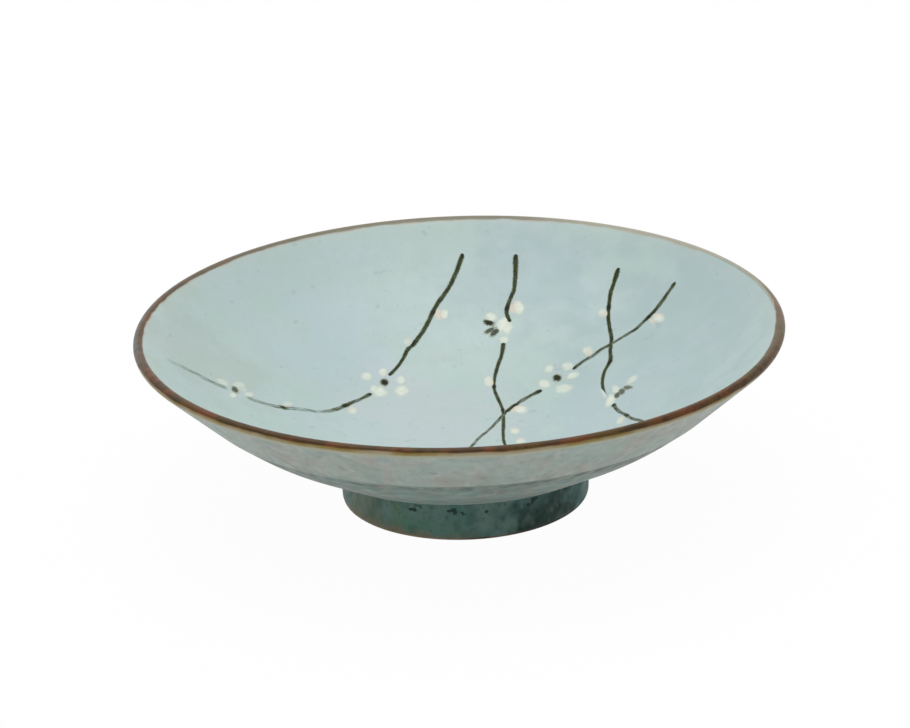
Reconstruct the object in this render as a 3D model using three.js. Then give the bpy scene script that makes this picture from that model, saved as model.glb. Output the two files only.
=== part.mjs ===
// A wide stoneware serving bowl on a turned foot.
//
// The bowl is a thrown clay body with a foot ring luted under it. Its wall has a soft crease outside:
// a steep band above it, a flatter belly below it. A pale blue grey glaze lines the inside, a mottled
// grey one covers the outside, a dark teal one the foot and an iron brown one the lip. Plum branches are
// brushed inside in iron slip, and their blossoms and buds are raised dabs of cream slip.
//
// Millimetres, +Z up. The origin is the centre of the plane that the foot stands on, and -Y is the front.

import * as THREE from 'three';

// Outside of the bowl, from the foot upwards
const FOOT_RADIUS = 48.5;
const FOOT_HEIGHT = 17;
const SHOULDER_FLARE = 13.9;
const SHOULDER_RISE = 4.2;
const BELLY_FLARE = 39.1;
const BELLY_RISE = 24.3;
const BELLY_CROWN = 1.6;
const BELLY_CROWN_SHARE = 0.36;
const WALL_FLARE = 23.5;
const WALL_RISE = 24.5;

// Walls and floor, each measured through clay and glaze together
const LIP_THICKNESS = 4;
const WALL_THICKNESS = 5.5;
const HAUNCH_THICKNESS = 7.7;
const FLOOR_THICKNESS = 7.5;
const FLOOR_RADIUS = 32;
const FLOOR_DISH = 0.8;

// Foot ring and the recess inside it
const FOOT_WALL = 7;
const RECESS_DEPTH = 13;
const FOOT_CHAMFER = 0.8;
const BARE_EDGE = 1.8;

// Glaze coats
const GLAZE = 0.6;
const JOINT_GAP = 0.3;

// Painted branches, blossoms and buds
const PAINT_GAP = 0.3;
const STROKE_THICKNESS = 0.4;
const TRUNK_WIDTH = 2.6;
const TWIG_WIDTH = 2.2;
const TIP_WIDTH = 1.2;
const PETAL_WIDTH = 5.2;
const PETAL_LENGTH = 5.4;
const PETAL_THICKNESS = 1;
const PETAL_SPACING = 3.2;
const EYE_WIDTH = 3.2;
const EYE_LENGTH = 3.8;
const EYE_THICKNESS = 0.6;
const BUD_WIDTH = 4.6;
const BUD_LENGTH = 5.6;
const BUD_THICKNESS = 1;
const STAMEN_THICKNESS = 0.5;
const STAMEN_ROOT = 0.9;
const STAMEN_POINTS = 4;
const STAMEN_SPREAD = THREE.MathUtils.degToRad(150);

// Fineness of the surfaces
const TURNS = 56;
const INSIDE_STEPS = 12;
const LIP_STEPS = 5;
const DAB_SIDES = 12;
const STEP_WIDTHS = 2.3;
const SLOPE_WIDTHS = 1.5;

const degrees = THREE.MathUtils.degToRad;

// Places on the section of the bowl, as radius and height
const shoulder = new THREE.Vector2(FOOT_RADIUS + SHOULDER_FLARE, FOOT_HEIGHT + SHOULDER_RISE);
const crease = shoulder.clone().add(new THREE.Vector2(BELLY_FLARE, BELLY_RISE));
const rim = crease.clone().add(new THREE.Vector2(WALL_FLARE, WALL_RISE));
const footTop = new THREE.Vector2(FOOT_RADIUS, FOOT_HEIGHT);
const recessRadius = FOOT_RADIUS - FOOT_WALL;
const floorHeight = RECESS_DEPTH + FLOOR_THICKNESS;
const clayDepth = GLAZE + JOINT_GAP;

const lipRadius = LIP_THICKNESS / 2;
const lipCentre = rim.clone().subScalar(lipRadius);

// A place square to a line from one point towards another, to the left of it
function beside(from, towards, distance) {
  const along = towards.clone().sub(from).normalize();
  return new THREE.Vector2(-along.y, along.x).multiplyScalar(distance).add(from);
}

// The belly swells a little below the straight line from the crease to the shoulder
const swell = beside(crease, shoulder, BELLY_CROWN).sub(crease);
const bellyCrown = crease.clone().lerp(shoulder, BELLY_CROWN_SHARE).add(swell);

const haunchInside = beside(shoulder, crease, HAUNCH_THICKNESS);
const creaseInside = beside(crease, lipCentre, WALL_THICKNESS);

// The angle of the line from a point that touches the round of the lip, above it or below it
function touchingAngle(from, side) {
  const across = lipCentre.clone().sub(from);
  return across.angle() + side * Math.asin(lipRadius / across.length());
}

function lipPoint(angle) {
  return new THREE.Vector2(Math.cos(angle), Math.sin(angle)).multiplyScalar(lipRadius).add(lipCentre);
}

const lipInnerAngle = touchingAngle(creaseInside, 1) + Math.PI / 2;
const lipOuterAngle = touchingAngle(crease, -1) - Math.PI / 2;

// The iron brown coat covers the round of the lip down to its widest place outside
const rimCoatAngle = degrees(-12);

// The visible inside, from the middle of the floor to the lip
const insideCurve = new THREE.SplineCurve([
  new THREE.Vector2(0, floorHeight),
  new THREE.Vector2(FLOOR_RADIUS, floorHeight + FLOOR_DISH),
  haunchInside,
  creaseInside,
  lipPoint(lipInnerAngle),
]);
const inside = insideCurve.getSpacedPoints(INSIDE_STEPS);

function lipArc(from, to, steps) {
  const points = [];
  for (let i = 0; i <= steps; i += 1) {
    points.push(lipPoint(THREE.MathUtils.lerp(from, to, i / steps)));
  }
  return points;
}

// The whole visible outline, from the middle of the floor over the lip and down to the top of the foot
const lipOver = lipArc(lipInnerAngle, rimCoatAngle, LIP_STEPS);
const lipUnder = lipArc(rimCoatAngle, lipOuterAngle, 1);
const skin = [...inside, ...lipOver.slice(1), ...lipUnder.slice(1), crease, bellyCrown, shoulder, footTop];
const rimCoatStart = inside.length - 1;
const rimCoatEnd = rimCoatStart + LIP_STEPS;
const creaseAt = skin.indexOf(crease);

// The same outline moved to the left of its own direction, with its corners kept sharp
function movedOutline(points, distance) {
  return points.map((point, i) => {
    const into = point.clone().sub(points[i - 1] ?? point).normalize();
    const out = (points[i + 1] ?? point).clone().sub(point).normalize();
    const along = into.clone().add(out).normalize();
    const mitre = Math.max(along.dot(into), along.dot(out));
    const moved = new THREE.Vector2(-along.y, along.x).multiplyScalar(distance / mitre).add(point);
    moved.x = point.x === 0 ? 0 : moved.x;
    return moved;
  });
}

// The same outline with a little taken off its ends
function shortened(points, startCut, endCut) {
  const result = points.map((point) => point.clone());
  const last = result.length - 1;
  result[0].lerp(points[1], startCut / points[0].distanceTo(points[1]));
  result[last].lerp(points[last - 1], endCut / points[last].distanceTo(points[last - 1]));
  return result;
}

// A solid of revolution from a closed outline
function turned(outline) {
  const geometry = new THREE.LatheGeometry([...outline, outline[0]], TURNS);
  geometry.rotateX(Math.PI / 2);
  return geometry;
}

// A solid of revolution from an outline that starts and ends on the axis
function turnedOnAxis(outline) {
  const geometry = new THREE.LatheGeometry(outline, TURNS);
  geometry.rotateX(Math.PI / 2);
  return geometry;
}

// The outline of a coat of glaze under a stretch of the skin, cut short where it meets the next coat
const coatBack = movedOutline(skin, -GLAZE);

function coatOutline(from, to, startCut, endCut) {
  const face = shortened(skin.slice(from, to + 1), startCut, endCut);
  const back = shortened(coatBack.slice(from, to + 1), startCut, endCut);
  return [...back, ...face.reverse()];
}

const part = new THREE.Group();

function addPiece(name, geometry, finish) {
  const mesh = new THREE.Mesh(geometry, new THREE.MeshStandardMaterial({ ...finish, metalness: 0 }));
  mesh.name = name;
  part.add(mesh);
}

const buffClay = { color: '#a89d86', roughness: 0.9 };
const paleBlueGlaze = { color: '#bccbcb', roughness: 0.3 };
const mottledGlaze = { color: '#929d96', roughness: 0.4 };
const darkGreyGlaze = { color: '#707f79', roughness: 0.4 };
const tealGlaze = { color: '#41554d', roughness: 0.35 };
const ironBrownGlaze = { color: '#5a4226', roughness: 0.3 };
const ironSlip = { color: '#3e3c2c', roughness: 0.5 };
const creamSlip = { color: '#e3e1cd', roughness: 0.45 };
const blackSlip = { color: '#2b261c', roughness: 0.5 };

// The thrown clay body: everything between the coats, down to the disc that fits inside the foot ring
function bowlBody() {
  const clay = movedOutline(skin, -clayDepth);
  const seat = FOOT_HEIGHT + JOINT_GAP;
  const plug = recessRadius - JOINT_GAP;
  const base = RECESS_DEPTH + clayDepth;
  return turnedOnAxis([
    new THREE.Vector2(0, base),
    new THREE.Vector2(plug, base),
    new THREE.Vector2(plug, seat),
    new THREE.Vector2(FOOT_RADIUS - clayDepth, seat),
    ...clay.reverse(),
  ]);
}

// The foot ring, with a bare edge to stand on and a step on each side where the glaze stops
function footRing() {
  const outer = FOOT_RADIUS - clayDepth;
  const inner = recessRadius + clayDepth;
  return turned([
    new THREE.Vector2(recessRadius + FOOT_CHAMFER, 0),
    new THREE.Vector2(FOOT_RADIUS - FOOT_CHAMFER, 0),
    new THREE.Vector2(FOOT_RADIUS, FOOT_CHAMFER),
    new THREE.Vector2(FOOT_RADIUS, BARE_EDGE),
    new THREE.Vector2(outer, BARE_EDGE),
    new THREE.Vector2(outer, FOOT_HEIGHT),
    new THREE.Vector2(inner, FOOT_HEIGHT),
    new THREE.Vector2(inner, BARE_EDGE),
    new THREE.Vector2(recessRadius, BARE_EDGE),
    new THREE.Vector2(recessRadius, FOOT_CHAMFER),
  ]);
}

// The coat outside the foot ring, from its bare edge to the belly
function footGlaze() {
  const low = BARE_EDGE + JOINT_GAP;
  const high = FOOT_HEIGHT - JOINT_GAP;
  return turned([
    new THREE.Vector2(FOOT_RADIUS, low),
    new THREE.Vector2(FOOT_RADIUS, high),
    new THREE.Vector2(FOOT_RADIUS - GLAZE, high),
    new THREE.Vector2(FOOT_RADIUS - GLAZE, low),
  ]);
}

// The coat inside the recess, over its ceiling and down the inner side of the foot ring
function recessGlaze() {
  const low = BARE_EDGE + JOINT_GAP;
  return turnedOnAxis([
    new THREE.Vector2(0, RECESS_DEPTH),
    new THREE.Vector2(recessRadius, RECESS_DEPTH),
    new THREE.Vector2(recessRadius, low),
    new THREE.Vector2(recessRadius + GLAZE, low),
    new THREE.Vector2(recessRadius + GLAZE, RECESS_DEPTH + GLAZE),
    new THREE.Vector2(0, RECESS_DEPTH + GLAZE),
  ]);
}

const cut = JOINT_GAP / 2;
const insideGlaze = turnedOnAxis(coatOutline(0, rimCoatStart, 0, cut));
const rimGlaze = turned(coatOutline(rimCoatStart, rimCoatEnd, cut, cut));
const wallGlaze = turned(coatOutline(rimCoatEnd, creaseAt, cut, cut));
const bellyGlaze = turned(coatOutline(creaseAt, skin.length - 1, cut, JOINT_GAP));

addPiece('bowl_body', bowlBody(), buffClay);
addPiece('foot_ring', footRing(), buffClay);
addPiece('inside_glaze', insideGlaze, paleBlueGlaze);
addPiece('rim_glaze', rimGlaze, ironBrownGlaze);
addPiece('wall_glaze', wallGlaze, mottledGlaze);
addPiece('belly_glaze', bellyGlaze, darkGreyGlaze);
addPiece('foot_glaze', footGlaze(), tealGlaze);
addPiece('recess_glaze', recessGlaze(), tealGlaze);

// Painting on the inside. A painted place is a share of the way out to the lip, in percent of the radius
// there, and an angle in degrees from +X, counter clockwise from above. It moves with the bowl's size.

const paintRadius = lipPoint(lipInnerAngle).x;

function planOf([percent, angle]) {
  const direction = new THREE.Vector2(Math.cos(degrees(angle)), Math.sin(degrees(angle)));
  return direction.multiplyScalar((paintRadius * percent) / 100);
}

// Height of the glazed inside over the foot's plane, at a radius
function insideHeight(radius) {
  const next = inside.findIndex((point) => point.x >= radius);
  const last = inside.length - 1;
  const upper = next < 0 ? last : Math.max(next, 1);
  const low = inside[upper - 1];
  const high = inside[upper];
  return THREE.MathUtils.mapLinear(radius, low.x, high.x, low.y, high.y);
}

function insideSlope(radius) {
  const reach = SLOPE_WIDTHS * TRUNK_WIDTH;
  const nearer = Math.max(radius - reach, 0);
  const farther = radius + reach;
  return (insideHeight(farther) - insideHeight(nearer)) / (farther - nearer);
}

// The point over a place of the plan that stands off the glaze by a height, square to it
function overInside(plan, height) {
  const radius = plan.length();
  const fall = plan.clone().normalize().multiplyScalar(-insideSlope(radius));
  const upright = new THREE.Vector3(fall.x, fall.y, 1).normalize();
  return upright.multiplyScalar(height).add(new THREE.Vector3(plan.x, plan.y, insideHeight(radius)));
}

// Lays a flat shape on the inside round a place: its x runs across, its y up the slope, its z off the glaze
function laidOnInside(geometry, centre) {
  const upSlope = centre.clone().normalize();
  const across = new THREE.Vector2(upSlope.y, -upSlope.x);
  const foreshortening = Math.cos(Math.atan(insideSlope(centre.length())));
  const position = geometry.attributes.position;
  for (let i = 0; i < position.count; i += 1) {
    const plan = centre.clone();
    plan.addScaledVector(across, position.getX(i));
    plan.addScaledVector(upSlope, position.getY(i) * foreshortening);
    const point = overInside(plan, PAINT_GAP + position.getZ(i));
    position.setXYZ(i, point.x, point.y, point.z);
  }
  return geometry;
}

// A low oval dome of slip, flat below. Its section is given as shares of the reach and of the thickness.
const dabSection = [[0, 0], [1, 0], [0.86, 0.6], [0.45, 0.94], [0, 1]];

function dab(width, length, thickness) {
  const outline = dabSection.map(([out, up]) => new THREE.Vector2(out, up));
  const geometry = new THREE.LatheGeometry(outline, DAB_SIDES);
  geometry.rotateX(Math.PI / 2);
  geometry.scale(width / 2, length / 2, thickness);
  return geometry;
}

// Five petals stand in a ring just wide enough to keep them apart
const petalStep = (2 * Math.PI) / 5;
const petalRing = (PETAL_WIDTH + PETAL_SPACING) / 2 / Math.sin(petalStep / 2);
const blossomReach = petalRing + PETAL_LENGTH / 2 + PAINT_GAP;
const stamenReach = petalRing - PETAL_LENGTH / 2 - PAINT_GAP;

// The stamens of a blossom that is seen from its side: a fan of points on a round root
function stamenFan() {
  const outline = [];
  for (let i = 0; i <= 2 * STAMEN_POINTS; i += 1) {
    const angle = (i / (2 * STAMEN_POINTS) - 0.5) * STAMEN_SPREAD;
    const reach = i % 2 === 1 ? stamenReach : STAMEN_ROOT;
    outline.push(new THREE.Vector2(Math.sin(angle), Math.cos(angle)).multiplyScalar(reach));
  }
  const settings = { depth: STAMEN_THICKNESS, bevelEnabled: false };
  return new THREE.ExtrudeGeometry(new THREE.Shape(outline.reverse()), settings);
}

// An open blossom has a dark eye, and one that is seen from its side a fan of stamens facing away from
// its petals. Petals lie at angles clockwise from straight up the slope.
function addBlossom(name, { at, petals, open }) {
  const centre = planOf(at);
  petals.forEach((angle, i) => {
    const petal = dab(PETAL_WIDTH, PETAL_LENGTH, PETAL_THICKNESS);
    petal.translate(0, petalRing, 0);
    petal.rotateZ(-degrees(angle));
    addPiece(`${name}_petal_${i + 1}`, laidOnInside(petal, centre), creamSlip);
  });
  if (open) {
    const eye = dab(EYE_WIDTH, EYE_LENGTH, EYE_THICKNESS);
    addPiece(`${name}_eye`, laidOnInside(eye, centre), blackSlip);
  } else {
    const middle = petals.reduce((sum, angle) => sum + angle, 0) / petals.length;
    const fan = stamenFan();
    fan.rotateZ(Math.PI - degrees(middle));
    addPiece(`${name}_stamens`, laidOnInside(fan, centre), blackSlip);
  }
}

const blossoms = {
  back_blossom: { at: [46, 123], petals: [-136, -40, 29, 98, 158], open: true },
  left_blossom: { at: [72, 176], petals: [-92, -9, 50, 105, 165], open: true },
  middle_side_blossom: { at: [63, 80], petals: [-7, 73, 134], open: false },
  right_blossom: { at: [48, 49], petals: [-152, -65, 3, 60, 127], open: true },
  right_side_blossom: { at: [55, 15], petals: [-46, -104, -160], open: false },
};

for (const [name, blossom] of Object.entries(blossoms)) {
  addBlossom(name, blossom);
}

// Angles, in degrees, at which strokes cross or fork
const TWIG_CROSSING = 70;
const TRUNK_CROSSING = 45;
const TRUNK_FORK = 20;

// How far short of a crossing a stroke stops, when it meets the other stroke at an angle
function crossingReach(angle) {
  return (TRUNK_WIDTH + TWIG_WIDTH) / 2 / Math.sin(degrees(angle)) + PAINT_GAP;
}

// A brush stroke: its route over the plan, its width at each end and what it keeps clear of there
const strokes = {
  left_branch_top: {
    route: [[90, 88], [81, 91], [74, 94], [64, 100], [56, 108], blossoms.back_blossom.at],
    widths: [TRUNK_WIDTH, TWIG_WIDTH],
    reaches: [0, blossomReach],
  },
  left_branch_middle: {
    route: [blossoms.back_blossom.at, [43, 139], [45, 157], [53, 168], [62, 175], blossoms.left_blossom.at],
    widths: [TRUNK_WIDTH, TWIG_WIDTH],
    reaches: [blossomReach, blossomReach],
  },
  left_branch_tip: {
    route: [blossoms.left_blossom.at, [82, 182], [87, 183], [94, 183]],
    widths: [TWIG_WIDTH, TIP_WIDTH],
    reaches: [blossomReach, 0],
  },
  middle_branch_top: {
    route: [[89, 77], [79, 76], [74, 77], blossoms.middle_side_blossom.at],
    widths: [TRUNK_WIDTH, TWIG_WIDTH],
    reaches: [0, blossomReach],
  },
  middle_branch_trunk: {
    route: [
      blossoms.middle_side_blossom.at, [53, 75], [41, 74], [35, 70],
      [25, 55], [14, 21], [15, -19], [26, -50],
    ],
    widths: [TWIG_WIDTH, TRUNK_WIDTH],
    reaches: [blossomReach, 0],
  },
  slanting_branch_top: {
    route: [[89, 37], [80, 36], [73, 37], [67, 40]],
    widths: [TWIG_WIDTH, TWIG_WIDTH],
    reaches: [0, crossingReach(TWIG_CROSSING)],
  },
  slanting_branch_middle: {
    route: [[67, 40], [59, 44], blossoms.right_blossom.at],
    widths: [TWIG_WIDTH, TWIG_WIDTH],
    reaches: [crossingReach(TWIG_CROSSING), blossomReach],
  },
  slanting_branch_inner: {
    route: [blossoms.right_blossom.at, [37, 53], [26, 56]],
    widths: [TRUNK_WIDTH, TWIG_WIDTH],
    reaches: [blossomReach, crossingReach(TRUNK_CROSSING)],
  },
  slanting_branch_trunk: {
    route: [[26, 56], [17, 52], [8, 37], [6, -65], [22, -100], [38, -108]],
    widths: [TWIG_WIDTH, TRUNK_WIDTH],
    reaches: [crossingReach(TRUNK_FORK), 0],
  },
  right_branch_top: {
    route: [[89, 53], [78, 50], [67, 41], [62, 36], [56, 32], blossoms.right_side_blossom.at],
    widths: [TRUNK_WIDTH, TWIG_WIDTH],
    reaches: [0, blossomReach],
  },
  right_branch_tip: {
    route: [blossoms.right_side_blossom.at, [51, 3], [54, -7], [62, -22], [71, -30]],
    widths: [TWIG_WIDTH, TIP_WIDTH],
    reaches: [blossomReach, 0],
  },
};

// The route of a stroke on the plan, and the shares of its length where the stroke starts and ends
function strokeLine({ route, reaches }) {
  const points = route.map((place) => {
    const plan = planOf(place);
    return new THREE.Vector3(plan.x, plan.y, 0);
  });
  const curve = new THREE.CatmullRomCurve3(points, false, 'centripetal');
  const length = curve.getLength();
  return { curve, length, start: reaches[0] / length, end: 1 - reaches[1] / length };
}

// The plan, direction to the left and width of a stroke at a share of its own length
function alongStroke(stroke, share) {
  const { curve, start, end } = strokeLine(stroke);
  const at = THREE.MathUtils.lerp(start, end, share);
  const point = curve.getPointAt(at);
  const tangent = curve.getTangentAt(at);
  return {
    plan: new THREE.Vector2(point.x, point.y),
    left: new THREE.Vector2(-tangent.y, tangent.x),
    width: THREE.MathUtils.lerp(stroke.widths[0], stroke.widths[1], share),
  };
}

// The stroke is a flat bar bent along its route and laid on the glaze, thinner at its edges
function strokeSolid(stroke) {
  const steps = Math.ceil(strokeLine(stroke).length / (STEP_WIDTHS * TRUNK_WIDTH));
  const geometry = new THREE.BoxGeometry(1, 1, 1, steps, 2, 1);
  const position = geometry.attributes.position;
  for (let i = 0; i < position.count; i += 1) {
    const { plan, left, width } = alongStroke(stroke, position.getX(i) + 0.5);
    const side = position.getY(i);
    const crown = STROKE_THICKNESS * (1 - Math.abs(side));
    const height = PAINT_GAP + (position.getZ(i) + 0.5) * crown;
    const point = overInside(plan.addScaledVector(left, side * width), height);
    position.setXYZ(i, point.x, point.y, point.z);
  }
  return geometry;
}

for (const [name, stroke] of Object.entries(strokes)) {
  addPiece(name, strokeSolid(stroke), ironSlip);
}

// A bud sits beside a stroke, at a share of its length, on its left (1) or on its right (-1)
const buds = [
  { on: strokes.left_branch_top, share: 0.47, side: 1 },
  { on: strokes.left_branch_top, share: 0.8, side: -1 },
  { on: strokes.left_branch_middle, share: 0.14, side: 1 },
  { on: strokes.left_branch_middle, share: 0.8, side: -1 },
  { on: strokes.middle_branch_top, share: 0.85, side: 1 },
  { on: strokes.middle_branch_trunk, share: 0.16, side: -1 },
  { on: strokes.middle_branch_trunk, share: 0.62, side: 1 },
  { on: strokes.middle_branch_trunk, share: 0.74, side: 1 },
  { on: strokes.slanting_branch_top, share: 0.5, side: 1 },
  { on: strokes.slanting_branch_middle, share: 0.55, side: -1 },
  { on: strokes.slanting_branch_inner, share: 0.7, side: 1 },
  { on: strokes.right_branch_top, share: 0.34, side: -1 },
  { on: strokes.right_branch_tip, share: 0.3, side: 1 },
];

buds.forEach(({ on, share, side }, i) => {
  const { plan, left, width } = alongStroke(on, share);
  const away = side * (width / 2 + BUD_WIDTH / 2 + PAINT_GAP);
  const centre = plan.addScaledVector(left, away);
  const bud = dab(BUD_WIDTH, BUD_LENGTH, BUD_THICKNESS);
  bud.rotateZ(left.angle() - Math.PI / 2 - centre.angle());
  addPiece(`bud_${i + 1}`, laidOnInside(bud, centre), creamSlip);
});

export default part;
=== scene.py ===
import math

import bmesh
import bpy
import numpy as np
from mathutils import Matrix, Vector


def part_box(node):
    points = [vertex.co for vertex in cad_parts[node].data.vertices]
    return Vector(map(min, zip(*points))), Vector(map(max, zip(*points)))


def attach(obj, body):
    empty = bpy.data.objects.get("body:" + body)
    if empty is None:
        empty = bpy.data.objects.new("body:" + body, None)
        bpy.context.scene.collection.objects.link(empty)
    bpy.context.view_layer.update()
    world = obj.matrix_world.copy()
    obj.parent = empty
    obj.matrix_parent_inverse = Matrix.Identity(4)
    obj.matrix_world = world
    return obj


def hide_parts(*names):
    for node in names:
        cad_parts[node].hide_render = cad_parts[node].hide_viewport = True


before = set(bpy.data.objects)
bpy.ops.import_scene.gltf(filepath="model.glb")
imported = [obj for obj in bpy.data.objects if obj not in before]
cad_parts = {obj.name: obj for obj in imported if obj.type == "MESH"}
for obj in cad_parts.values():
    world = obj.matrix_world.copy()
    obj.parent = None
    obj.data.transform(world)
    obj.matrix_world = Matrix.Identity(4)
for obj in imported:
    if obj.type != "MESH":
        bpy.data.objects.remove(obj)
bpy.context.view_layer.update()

# The clay body: a wide bowl thrown on the wheel in grey buff stoneware, with a disc under its floor
# that sits inside the foot ring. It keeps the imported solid, because glaze covers all of it.

MM = 0.001


def paint(red, green, blue):
    """A colour written as 0 to 255 a channel, turned into the linear light that the shader takes."""
    level = np.array((red, green, blue)) / 255
    linear = np.where(level <= 0.04045, level / 12.92, ((level + 0.055) / 1.055) ** 2.4)
    return (*linear.tolist(), 1.0)


def new_material(name):
    """A new material, with its node tree and its shader."""
    material = bpy.data.materials.new(name)
    material.use_nodes = True
    return material, material.node_tree, material.node_tree.nodes["Principled BSDF"]


def feed(tree, socket, value):
    """Joins a socket to another, or sets it where the value is a number, a vector or a colour."""
    if isinstance(value, bpy.types.NodeSocket):
        tree.links.new(value, socket)
    else:
        socket.default_value = value


def place_of(tree, stretch=(1, 1, 1), shift=(0, 0, 0)):
    """The place on the bowl in millimetres, from Object coordinates: place times stretch, plus shift."""
    texture = tree.nodes.new("ShaderNodeTexCoord")
    mapping = tree.nodes.new("ShaderNodeMapping")
    mapping.inputs["Scale"].default_value = tuple(s / MM for s in stretch)
    mapping.inputs["Location"].default_value = shift
    tree.links.new(texture.outputs["Object"], mapping.inputs["Vector"])
    return mapping.outputs["Vector"]


def cloud(tree, place, size, detail=2.0, roughness=0.5):
    """Soft blotches about as wide as the size in millimetres: Perlin noise of place over size, 0 to 1."""
    noise = tree.nodes.new("ShaderNodeTexNoise")
    tree.links.new(place, noise.inputs["Vector"])
    noise.inputs["Scale"].default_value = 1 / size
    noise.inputs["Detail"].default_value = detail
    noise.inputs["Roughness"].default_value = roughness
    return noise.outputs["Fac"]


def spread(tree, value, low, high, to_low=0.0, to_high=1.0):
    """Smooth step from to_low where the value is at low, to to_high where it is at high."""
    ramp = tree.nodes.new("ShaderNodeMapRange")
    ramp.interpolation_type = "SMOOTHSTEP"
    tree.links.new(value, ramp.inputs["Value"])
    for name, number in (("From Min", low), ("From Max", high), ("To Min", to_low), ("To Max", to_high)):
        ramp.inputs[name].default_value = number
    return ramp.outputs["Result"]


def calculate(tree, operation, first, second=0.0):
    """One step of arithmetic on numbers."""
    node = tree.nodes.new("ShaderNodeMath")
    node.operation = operation
    feed(tree, node.inputs[0], first)
    feed(tree, node.inputs[1], second)
    return node.outputs["Value"]


def blend(tree, share, first, second):
    """Colour first times (1 - share), plus colour second times share."""
    mix = tree.nodes.new("ShaderNodeMix")
    mix.data_type = "RGBA"
    feed(tree, mix.inputs[0], share)
    feed(tree, mix.inputs[6], first)
    feed(tree, mix.inputs[7], second)
    return mix.outputs[2]


def combine(tree, operation, first, second=(0, 0, 0)):
    """Adds, scales, levels or measures vectors. The second is a number where the first is scaled by it,
    and LENGTH and DISTANCE give a number."""
    node = tree.nodes.new("ShaderNodeVectorMath")
    node.operation = operation
    feed(tree, node.inputs[0], first)
    feed(tree, node.inputs["Scale"] if operation == "SCALE" else node.inputs[1], second)
    return node.outputs["Value" if operation in ("LENGTH", "DISTANCE") else "Vector"]


def parts_of(tree, vector):
    """The three numbers of a vector. Of a place, they are the way right, back and up."""
    split = tree.nodes.new("ShaderNodeSeparateXYZ")
    tree.links.new(vector, split.inputs[0])
    return split.outputs["X"], split.outputs["Y"], split.outputs["Z"]


CLOUD_LOW, CLOUD_HIGH = 0.3, 0.7


def waver(tree, place, size, by, detail=3.0):
    """A number that drifts from -by to by in clouds of a size in millimetres."""
    return spread(tree, cloud(tree, place, size, detail), CLOUD_LOW, CLOUD_HIGH, -by, by)


def two_tones(tree, size, first, second, low=0.36, high=0.64, detail=2.0):
    """A ground colour that drifts between two paints in clouds of a size in millimetres."""
    share = spread(tree, cloud(tree, place_of(tree), size, detail), low, high)
    return blend(tree, share, first, second)


def wrapped(tree, radius, stretch=1.0, shift=(0, 0, 0)):
    """A place told by the way round the axis and the height alone: the point at the same angle at the
    radius given, and at the height times stretch. Blotches there keep their size up a slope."""
    around = combine(tree, "SCALE", combine(tree, "NORMALIZE", place_of(tree, (1, 1, 0))), radius)
    return combine(tree, "ADD", around, place_of(tree, (0, 0, stretch), shift))


def layer(tree, tone, colour, size, low, high, most,
          stretch=(1, 1, 1), shift=(0, 0, 0), detail=3.0, wrap=0.0):
    """Lays a colour over the tone in blotches of a size in millimetres, at most by the share given. With
    wrap, the blotches follow the way round at that radius."""
    place = wrapped(tree, wrap, stretch[2], shift) if wrap else place_of(tree, stretch, shift)
    patch = cloud(tree, place, size, detail, roughness=0.55)
    return blend(tree, spread(tree, patch, low, high, 0, most), tone, colour)


def fire(tree, shader, tone, gloss_size, smooth, rough, bump_size, bump_depth, shine=0.5):
    """Sets the fired surface: the colour, a roughness that drifts in clouds from smooth to rough, and
    light tilted as if the surface stood off by a cloud of bump_size times bump_depth, in millimetres."""
    place = place_of(tree)
    drift = cloud(tree, place, gloss_size, 3)
    feed(tree, shader.inputs["Base Color"], tone)
    feed(tree, shader.inputs["Roughness"], spread(tree, drift, CLOUD_LOW, CLOUD_HIGH, smooth, rough))
    shader.inputs["Specular IOR Level"].default_value = shine
    bump = tree.nodes.new("ShaderNodeBump")
    bump.inputs["Distance"].default_value = bump_depth * MM
    tree.links.new(cloud(tree, place, bump_size, detail=4, roughness=0.6), bump.inputs["Height"])
    tree.links.new(bump.outputs["Normal"], shader.inputs["Normal"])


def clay_material():
    """Buff clay with darker grog, small iron specks and a dry, slightly torn surface, with painted shade
    darkening it towards the right side."""
    material, tree, shader = new_material("buff_stoneware_clay")
    place = place_of(tree)
    tone = two_tones(tree, 9, paint(158, 141, 117), paint(178, 160, 134), 0.35, 0.65)
    tone = layer(tree, tone, paint(124, 108, 86), 0.7, 0.56, 0.68, 1.0)
    tone = layer(tree, tone, paint(62, 50, 38), 0.45, 0.68, 0.74, 1.0, detail=1)
    # Painted shade: the clay darkens towards the right side, away from the light.
    right_side_painted_shade = calculate(tree, "ADD", parts_of(tree, place)[0], waver(tree, place, 12, 14, 4))
    tone = blend(tree, spread(tree, right_side_painted_shade, -30, 30, 0, 0.93), tone, paint(56, 52, 41))
    fire(tree, shader, tone, 2.5, 0.78, 0.95, 0.6, 0.12)
    return material


clay = clay_material()
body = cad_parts["bowl_body"]
body.data.materials.clear()
body.data.materials.append(clay)

# The foot ring: a turned ring of the same clay, luted under the bowl and trimmed a little narrower at
# its base. Only the narrow standing edge is bare, with worn corners; the rest is under glaze.

FOOT_RADIUS = 48.5
FOOT_TAPER = 0.45
FOOT_SHIFT = 0.67
FOOT_TOP = 17.0
RECESS_RADIUS = 41.5
RECESS_CEILING = 13.0
BARE_EDGE = 0.9
WORN_CORNER = 0.7
SKIN_BEND = 2.0
FOOT_COAT = 0.45
BASE_RADIUS = FOOT_RADIUS - FOOT_TAPER
RIM_RADIUS = 125
WAVE_UP = 0.22
WAVE_OUT = 0.15
WAVE_START, WAVE_FULL = 4, 24
SHIFT_START, SHIFT_FULL = 20, 16
ARC_POINTS = 9
TURNS = 480
SHARP_TURN = math.radians(50)


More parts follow.
